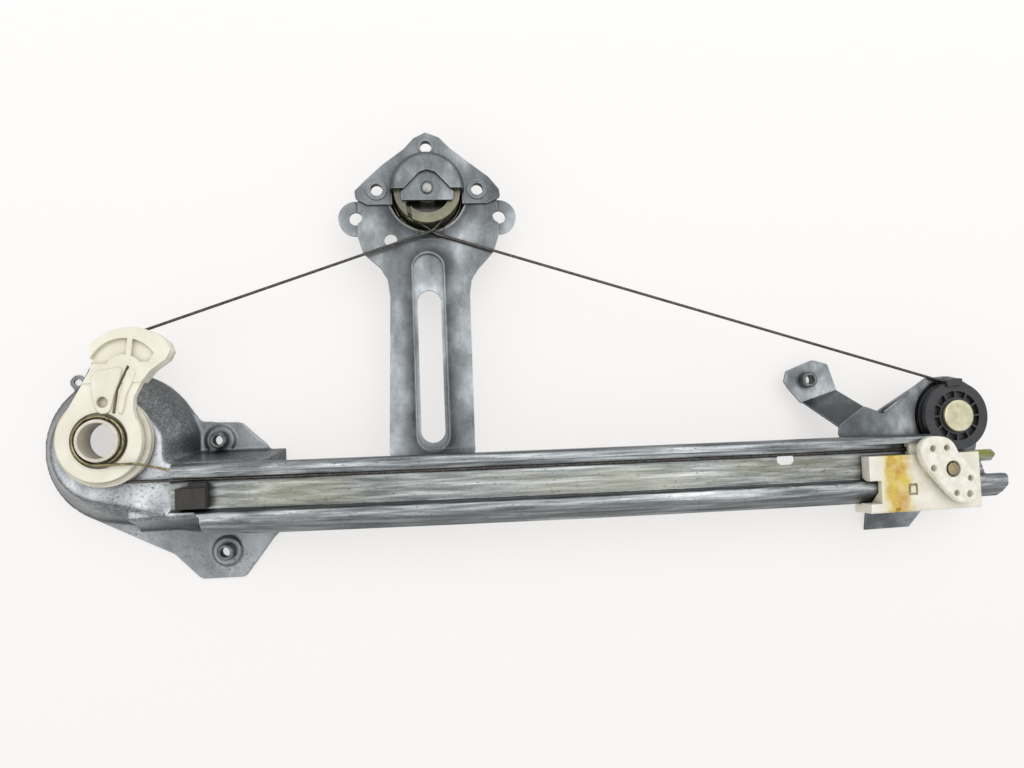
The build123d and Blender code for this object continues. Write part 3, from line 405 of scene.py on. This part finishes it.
def makePlastic(name, light, dark, rough=0.45, soft=0.0, cloudMm=9, shadeAndDirtShare=0.35, shadeAndDirtColour="#6b6654",
                stains=None):
    material, tree, shader, place = newMaterial(name)
    colour = rampOf(tree, noiseOf(tree, place, cloudMm, 4), [(0.35, dark), (0.65, light)])
    # painted shade with dirt in the corners
    shadeAndDirt = timesOf(tree, shadeAndDirtIn(tree, plasticLook["shadeAndDirtMm"]), shadeAndDirtShare)
    colour = mixColours(tree, shadeAndDirt, colour, hexColour(shadeAndDirtColour))
    if stains:
        colour = stains(tree, place, colour)
    tree.links.new(colour, shader.inputs["Base Color"])
    shader.inputs["Roughness"].default_value = rough
    shader.inputs["Subsurface Weight"].default_value = soft
    shader.inputs["Subsurface Radius"].default_value = plasticLook["glowReach"]
    grain = noiseOf(tree, place, plasticLook["grainMm"], 3)
    tree.links.new(bumpOf(tree, grain, plasticLook["grainDepthMm"], 0.3), shader.inputs["Normal"])
    return material


# Turned, drawn or passivated steel: an even metal without the pressing's clouds, painted shade with dark oil
# in corners
plainLook = {"metal": 0.85, "shadeAndDirt": "#2e2c28", "shadeAndDirtMm": 2.5, "shadeAndDirtShare": 0.5, "grainDepthMm": 0.06}


def makePlainSteel(name, light, dark, rough=0.35, cloudMm=4.0):
    material, tree, shader, place = newMaterial(name)
    clouds = noiseOf(tree, place, cloudMm, 5)
    colour = rampOf(tree, clouds, [(0.35, dark), (0.65, light)])
    # painted shade with dark oil in the corners
    shadeAndDirt = timesOf(tree, shadeAndDirtIn(tree, plainLook["shadeAndDirtMm"]), plainLook["shadeAndDirtShare"])
    colour = mixColours(tree, shadeAndDirt, colour, hexColour(plainLook["shadeAndDirt"]))
    tree.links.new(colour, shader.inputs["Base Color"])
    shader.inputs["Metallic"].default_value = plainLook["metal"]
    shader.inputs["Roughness"].default_value = rough
    tree.links.new(bumpOf(tree, clouds, plainLook["grainDepthMm"], 0.3), shader.inputs["Normal"])
    return material


# Old grease on the carrier: a yellow band across it with a paler rim, and pale blotches over the rest
stainLook = {
    "warm": "#c2963a", "yellow": "#d6bd52", "bandLeft": (0.2375, 0.2415), "bandRight": (0.2500, 0.2545),
    "rim": "#e4d99a", "rimShare": 0.5, "rimLeft": (0.2345, 0.2400), "rimRight": (0.2520, 0.2575),
    "pale": "#d9cf86", "paleShare": 0.45, "wander": 0.004, "wanderMm": 9, "spotMm": 7, "shadeMm": 10,
}


def carrierStain(tree, place, colour):
    look = stainLook
    across = addNode(tree, "ShaderNodeSeparateXYZ", None, {"Vector": place}).outputs["X"]
    wander = noiseOf(tree, place, look["wanderMm"], 4)
    wander = limitOf(tree, wander, 0.2, 0.8, -look["wander"], look["wander"])
    x = addNode(tree, "ShaderNodeMath", {"operation": "ADD"}, {0: across, 1: wander}).outputs[0]
    band = timesOf(tree, limitOf(tree, x, *look["bandLeft"]), limitOf(tree, x, *look["bandRight"], 1, 0))
    rim = timesOf(tree, limitOf(tree, x, *look["rimLeft"]), limitOf(tree, x, *look["rimRight"], 1, 0))
    colour = mixColours(tree, timesOf(tree, rim, look["rimShare"]), colour, hexColour(look["rim"]))
    spots = limitOf(tree, noiseOf(tree, place, look["spotMm"], 4), 0.26, 0.56, 0.45, 1.0)
    shades = limitOf(tree, noiseOf(tree, place, look["shadeMm"], 3), 0.4, 0.6)
    grease = mixColours(tree, shades, hexColour(look["yellow"]), hexColour(look["warm"]))
    colour = mixColours(tree, timesOf(tree, band, spots), colour, grease)
    pale = limitOf(tree, noiseOf(tree, place, look["spotMm"], 4), 0.58, 0.7)
    return mixColours(tree, timesOf(tree, pale, look["paleShare"]), colour, hexColour(look["pale"]))


# The drum's pocket holds old grease, nearly black
greaseLook = {"colour": "#171208", "share": 0.96, "reach": (0.0132, 0.0138), "top": (0.0285, 0.0302)}


def drumGrease(tree, place, colour):
    look = greaseLook
    split = addNode(tree, "ShaderNodeSeparateXYZ", None, {"Vector": place}).outputs
    reach = lengthOf(tree, split["X"], split["Y"])
    inside = timesOf(tree, limitOf(tree, reach, *look["reach"], 1, 0),
                     limitOf(tree, split["Z"], *look["top"], 1, 0))
    return mixColours(tree, timesOf(tree, inside, look["share"]), colour, hexColour(look["colour"]))


headChanges = {"dark": "#47494b", "middle": "#5f6365", "light": "#7b7f82", "shine": "#b4b8bb", "cloudMm": 30,
               "speckShare": 0.35, "edgeHighlightAndWearShare": 0.22, "gritShare": 0.22, "blotchShare": 0.3}
armChanges = {"dark": "#525557", "middle": "#696d6f", "light": "#84888b", "shine": "#b6babd", "cloudMm": 26,
              "speckShare": 0.4, "edgeHighlightAndWearShare": 0.2, "gritShare": 0.22, "blotchShare": 0.3}
panChanges = {"dark": "#74787a", "middle": "#aaaeb1", "light": "#cfd2d4", "shine": "#f2f4f5", "cloudMm": 26,
              "slopeShade": "#3c4043", "steep": 0.87, "edgeHighlightAndWearShare": 0.5, "gritShare": 0.3,
              "speckMm": 1.3, "speckTo": 0.455, "speckShare": 0.9}
zincSteel = makeZincSteel()
headSteel = makeZincSteel("winderHeadPressing", headChanges, 0.4)
armSteel = makeZincSteel("winderArmPressing", armChanges, 0.4, shadeArm)
panSteel = makeZincSteel("endBracketPressing", panChanges, 1.1, shadePan)
railSteel = makeRailSteel()
pinSteel = makePlainSteel("turnedSteel", "#8b8c88", "#5d5e5a")
bushSteel = makePlainSteel("threadedBushSteel", "#777a7b", "#45484a", 0.4)
springSteel = makePlainSteel("oiledSpringWire", "#a0946c", "#5d5640", 0.28, 3.0)
passivatedSteel = makePlainSteel("yellowPassivatedSteel", "#d0ccb0", "#b7b294", 0.42)
pinOlive = makePlainSteel("oliveCoatedPin", "#a69c7a", "#857c60", 0.5)
cableSteel = makePlainSteel("greasedCableWire", "#5f5c58", "#383532", 0.45, 1.2)
whiteNylon = makePlastic("whiteNylon", "#f0ece0", "#e1dccd", 0.42, 0.15, stains=carrierStain)
clampNylon = makePlastic("clampNylon", "#f3f0e6", "#dfdac9", 0.5, 0.15, 4)
creamAcetal = makePlastic("creamAcetal", "#f2efe0", "#e5e0cd", 0.38, 0.2, 16, 0.5, "#8a7f5c")
ringAcetal = makePlastic("agedAcetal", "#e0dacd", "#cfc8b8", 0.4, 0.2, 8, 0.5, "#5c5340")
blackNylon = makePlastic("blackNylon", "#333437", "#28292b", 0.42, 0.0, 8, 0.6, "#0d0d0d")
drumNylon = makePlastic("greasyDrumNylon", "#7f7f62", "#5d5d45", 0.2, 0.0, 7, 0.85, "#120f08", drumGrease)
stopRubber = makePlastic("stopRubber", "#2e2b27", "#211f1c", 0.6, 0.0, 4, 0.6, "#0c0b0a")
print("materials made")


# Pieces taken from the CAD nodes, with joined faces, rounded edges and smooth curves
nodeLook = {"join": 2e-6, "flatAngle": 0.6, "smoothAngle": 32, "edgeAngle": 40, "edgeSteps": 2}


def mergedMesh(node):
    mesh = frame["nodes"][node].data.copy()
    shape = bmesh.new()
    shape.from_mesh(mesh)
    bmesh.ops.remove_doubles(shape, verts=shape.verts, dist=nodeLook["join"])
    bmesh.ops.dissolve_degenerate(shape, edges=shape.edges, dist=nodeLook["join"] / 2)
    bmesh.ops.dissolve_limit(shape, verts=shape.verts, edges=shape.edges,
                             angle_limit=radians(nodeLook["flatAngle"]))
    shape.to_mesh(mesh)
    shape.free()
    return mesh


# The two straight cables that run on to the tensioner, whose far ends stay and near ends swing with it: each
# lists its far and near ends' bodies and places, and here both are only fixed in place.
# drumTurn is the place in plan where the upper one turns towards the drum
drumTurn = (0.0026, -0.0215)
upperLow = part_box("left_upper_cable")[0]
lowerLow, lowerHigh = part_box("left_lower_cable")
cableSpans = {
    "left_upper_cable": ("frame", "tensioner", (*drumTurn, upperLow[2]), tuple(upperLow)),
    "left_lower_cable": ("frame", "tensioner", tuple(lowerLow), (lowerHigh[0], lowerHigh[1], lowerLow[2])),
}


def finishMesh(mesh, material):
    mesh.materials.clear()
    mesh.materials.append(material)
    for face in mesh.polygons:
        face.use_smooth = True
        face.material_index = 0


def dressNode(node, material, edgeMm):
    mesh = mergedMesh(node)
    finishMesh(mesh, material)
    mesh.set_sharp_from_angle(angle=radians(nodeLook["smoothAngle"]))
    piece = bpy.data.objects.new(node.title().replace("_", ""), mesh)
    bpy.context.scene.collection.objects.link(piece)
    if edgeMm:
        rounding = piece.modifiers.new("edges", "BEVEL")
        rounding.width = edgeMm / 1000
        rounding.segments = nodeLook["edgeSteps"]
        rounding.limit_method = "ANGLE"
        rounding.angle_limit = radians(nodeLook["edgeAngle"])
        shading = piece.modifiers.new("shading", "WEIGHTED_NORMAL")
        shading.keep_sharp = True
    if node in cableSpans:
        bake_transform(piece)
    else:
        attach(piece, bodyOf[node])
    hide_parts(node)


# Each node's finish, its slot in the record and how far its edges are rounded, in mm
dressing = {
    "guide_rail": (railSteel, "rail_steel", 0.2),
    "bump_stop": (stopRubber, "stop_rubber", 0.4),
    "drive_bracket": (armSteel, "zinc_steel", 0.7),
    "drum_cover": (headSteel, "zinc_steel", 0.5),
    "cover_eyelets": (headSteel, "zinc_steel", 0.2),
    "axle_pin": (pinSteel, "pin_steel", 0.15),
    "crank_spindle": (pinSteel, "pin_steel", 0.15),
    "brake_cup": (pinSteel, "pin_steel", 0.15),
    "brake_spring": (springSteel, "spring_steel", 0),
    "cable_drum": (drumNylon, "drum_nylon", 0.2),
    "threaded_bushes": (bushSteel, "pin_steel", 0.15),
    "pivot_tube": (ringAcetal, "cream_nylon", 0.4),
    "left_pulley": (ringAcetal, "cream_nylon", 0.4),
    "tensioner_lever": (creamAcetal, "cream_nylon", 0.4),
    "tensioner_spring": (springSteel, "spring_steel", 0),
    "right_bracket": (zincSteel, "zinc_steel", 0.35),
    "pulley_guard": (blackNylon, "black_nylon", 0.2),
    "right_pulley": (blackNylon, "black_nylon", 0.3),
    "pulley_rivet": (passivatedSteel, "passivated_steel", 0.2),
    "glass_carrier": (whiteNylon, "white_nylon", 0.3),
    "clamp_pin": (pinOlive, "passivated_steel", 0.1),
    "left_upper_cable": (cableSteel, "cable_steel", 0),
    "fan_cable": (cableSteel, "cable_steel", 0),
    "left_lower_cable": (cableSteel, "cable_steel", 0),
    "rail_cable": (cableSteel, "cable_steel", 0),
    "right_cable": (cableSteel, "cable_steel", 0),
    "left_cable_end": (pinSteel, "pin_steel", 0),
    "right_cable_end": (pinSteel, "pin_steel", 0),
}
for nodeName, (finish, slotName, edgeWidth) in dressing.items():
    dressNode(nodeName, finish, edgeWidth)
print("pieces dressed")


def putPiece(name, mesh, material, body, node=None):
    finishMesh(mesh, material)
    piece = bpy.data.objects.new(name, mesh)
    bpy.context.scene.collection.objects.link(piece)
    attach(piece, body)
    if node:
        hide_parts(node)


def meshOf(holder, modifiers=()):
    # the finished mesh of a helper object with its modifiers, and the helper is removed
    bpy.context.scene.collection.objects.link(holder)
    for kind, settings in modifiers:
        modifier = holder.modifiers.new(kind, kind)
        for key, value in settings.items():
            setattr(modifier, key, value)
    graph = bpy.context.evaluated_depsgraph_get()
    mesh = bpy.data.meshes.new_from_object(holder.evaluated_get(graph))
    bpy.data.objects.remove(holder)
    return mesh


# Left end bracket: a deep drawn pan, so it is smoothed above and left of the softFrom and softTo places,
# while the flange and the rims of the sheet stay where they are
panLook = {
    "voxelMm": 0.8,
    "rounds": 34,
    "softFrom": 0.0070,
    "softTo": -0.094,
    "wallX": (-158.4, -156.6),
    "wallFoot": (-174.6, -169.6),
    "wallHead": (-167.6, -161.9),
    "wallHeight": (0.8, 24.6),
}


def addEndWall(shape):
    # closes the ridge's left end, between its own wall and the pan's, with a sheet that leans as they do
    reaches = (panLook["wallFoot"], panLook["wallHead"])
    corners = [(x, y, z) for z, reach in zip(panLook["wallHeight"], reaches)
               for y in reach for x in panLook["wallX"]]
    verts = [shape.verts.new([value / 1000 for value in corner]) for corner in corners]
    bmesh.ops.convex_hull(shape, input=verts)


def makeSoftPan():
    joined = mergedMesh("left_bracket")
    shape = bmesh.new()
    shape.from_mesh(joined)
    addEndWall(shape)
    shape.to_mesh(joined)
    shape.free()
    holder = bpy.data.objects.new("pan", joined)
    mesh = meshOf(holder, [("REMESH", {"mode": "VOXEL", "voxel_size": panLook["voxelMm"] / 1000})])
    shape = bmesh.new()
    shape.from_mesh(mesh)
    for _ in range(panLook["rounds"]):
        moved = [v for v in shape.verts if v.co.z > panLook["softFrom"] and v.co.x < panLook["softTo"]]
        bmesh.ops.smooth_vert(shape, verts=moved, factor=0.5, use_axis_x=True, use_axis_y=True,
                              use_axis_z=True)
    shape.to_mesh(mesh)
    shape.free()
    putPiece("leftBracket", mesh, panSteel, "frame", "left_bracket")


makeSoftPan()
print("left bracket made")


def flatShape(outline, holes, low, high, edge):
    # a plate from a plan outline with round holes and softly rounded edges, all in mm
    around = [radians(22.5 * step) for step in range(16)]
    curve = bpy.data.curves.new("plan", "CURVE")
    curve.dimensions = "2D"
    curve.fill_mode = "BOTH"
    curve.resolution_u = 1
    loops = [outline] + [[(x + r * cos(a), y + r * sin(a)) for a in around] for x, y, r in holes]
    for loop in loops:
        line = curve.splines.new("POLY")
        line.points.add(len(loop) - 1)
        for point, (x, y) in zip(line.points, loop):
            point.co = (x / 1000, y / 1000, 0, 1)
        line.use_cyclic_u = True
    curve.extrude = ((high - low) / 2 - edge) / 1000
    curve.bevel_depth = edge / 1000
    curve.bevel_resolution = 2
    curve.offset = -edge / 1000
    mesh = meshOf(bpy.data.objects.new("plan", curve))
    mesh.transform(Matrix.Translation((0, 0, (low + high) / 2000)))
    return mesh


def roundedLoop(points, rounds=3):
    # cut the corners of a closed outline a few times, which leaves a smooth curve
    for _ in range(rounds):
        ends = points[1:] + points[:1]
        points = [q for a, b in zip(points, ends)
                  for q in ((a[0] * 0.75 + b[0] * 0.25, a[1] * 0.75 + b[1] * 0.25),
                            (a[0] * 0.25 + b[0] * 0.75, a[1] * 0.25 + b[1] * 0.75))]
    return points


# The plate that carries the glass: two round lobes with a waist, holes and an open eye for the pin.
# It is drawn flat, then leaned and lifted onto the arch of the rail at seatX
clampLook = {
    "outline": [(255.0, -147.6), (257.0, -143.4), (261.6, -141.0), (267.0, -140.9), (273.0, -142.2),
                (276.6, -146.0), (278.4, -150.6), (283.0, -155.6), (288.4, -161.0), (291.0, -167.0),
                (289.6, -173.6), (284.6, -177.2), (278.0, -177.4), (272.6, -173.0), (267.2, -167.6),
                (261.6, -161.2), (256.4, -154.6)],
    "holes": [(263.0, -147.6, 1.7), (271.4, -147.4, 1.6), (262.8, -158.0, 1.7), (284.6, -164.2, 1.5),
              (275.8, -171.8, 1.6), (283.6, -172.6, 1.8), (274.5, -158.8, 4.3)],
    "low": 10.05,
    "high": 14.5,
    "edge": 0.9,
    "seatX": 0.262,
    "seatZ": 0.031518,
    "lean": 5.2787,
}


def makeClampPlate():
    look = clampLook
    mesh = flatShape(roundedLoop(look["outline"]), look["holes"], look["low"], look["high"], look["edge"])
    mesh.transform(Matrix.Translation((-look["seatX"], 0, 0)))
    mesh.transform(Matrix.Rotation(radians(look["lean"]), 4, "Y"))
    mesh.transform(Matrix.Translation((look["seatX"], 0, look["seatZ"])))
    putPiece("glassClamp", mesh, clampNylon, "clamp", "glass_clamp")


makeClampPlate()


def heightOn(node, x, y):
    # the height in mm of a node's top face over a place in plan
    mesh = frame["nodes"][node].data
    tree = BVHTree.FromPolygons([v.co for v in mesh.vertices], [f.vertices for f in mesh.polygons])
    return tree.ray_cast(Vector((x / 1000, y / 1000, 0.2)), Vector((0, 0, -1)))[0].z * 1000


# The right bracket's short rib by the pulley and the turned-up edge above it, both pressed in its sheet.
# They lean with the sheet, whose slope is measured between the two plateX places
bracketLook = {
    "rib": [(257.4, -130.6), (264.0, -131.8), (270.4, -133.0), (270.8, -135.2), (264.0, -134.2),
            (257.0, -133.0)],
    "ribRounds": 2,
    "ribTop": 1.0,
    "edge": [(244.4, -126.6), (277.4, -107.9), (277.9, -108.8), (244.9, -127.5)],
    "edgeTop": 2.2,
    "sunk": 0.6,
    "rimRound": 0.3,
    "plateX": (250, 272),
    "plateY": -125,
}


def makeBracketRelief():
    look = bracketLook
    left, right = look["plateX"]
    low, high = [heightOn("right_bracket", x, look["plateY"]) for x in look["plateX"]]
    tilt = Matrix.Identity(4)
    tilt[2][0] = (high - low) / (right - left)
    tilt[2][3] = -tilt[2][0] * left / 1000
    rib = roundedLoop(look["rib"], look["ribRounds"])
    for name, outline, height in (("bracketRib", rib, look["ribTop"]),
                                  ("bracketEdge", look["edge"], look["edgeTop"])):
        mesh = flatShape(outline, [], low - look["sunk"], low + height, look["rimRound"])
        mesh.transform(tilt)
        putPiece(name, mesh, zincSteel, "frame")


makeBracketRelief()

# The tensioner's raised panel and the strip along its right edge
leverLook = {
    "panel": [(-168.2, -92.6), (-160.0, -91.2), (-153.0, -90.0), (-154.2, -96.0), (-157.2, -103.0),
              (-158.6, -110.0), (-160.4, -113.4), (-164.8, -113.6), (-167.0, -108.6), (-168.6, -100.0)],
    "panelHole": [(-163.2, -107.6, 2.7)],
    "strip": [(-151.0, -90.2), (-146.4, -92.6), (-148.6, -98.2), (-151.8, -104.2), (-153.0, -112.6),
              (-155.4, -114.6), (-156.0, -108.4), (-153.4, -99.4)],
    "panelTop": 39.5,
    "stripTop": 39.1,
    "low": 36.6,
    "edge": 0.7,
}


def makeLeverRelief():
    look = leverLook
    for name, outline, holes, top in (("leverPanel", look["panel"], look["panelHole"], look["panelTop"]),
                                      ("leverStrip", look["strip"], [], look["stripTop"])):
        mesh = flatShape(roundedLoop(outline, 2), holes, look["low"], top, look["edge"])
        putPiece(name, mesh, creamAcetal, "tensioner")


makeLeverRelief()
print("clamp plate and reliefs made")

bpy.context.scene.view_settings.view_transform = "Standard"
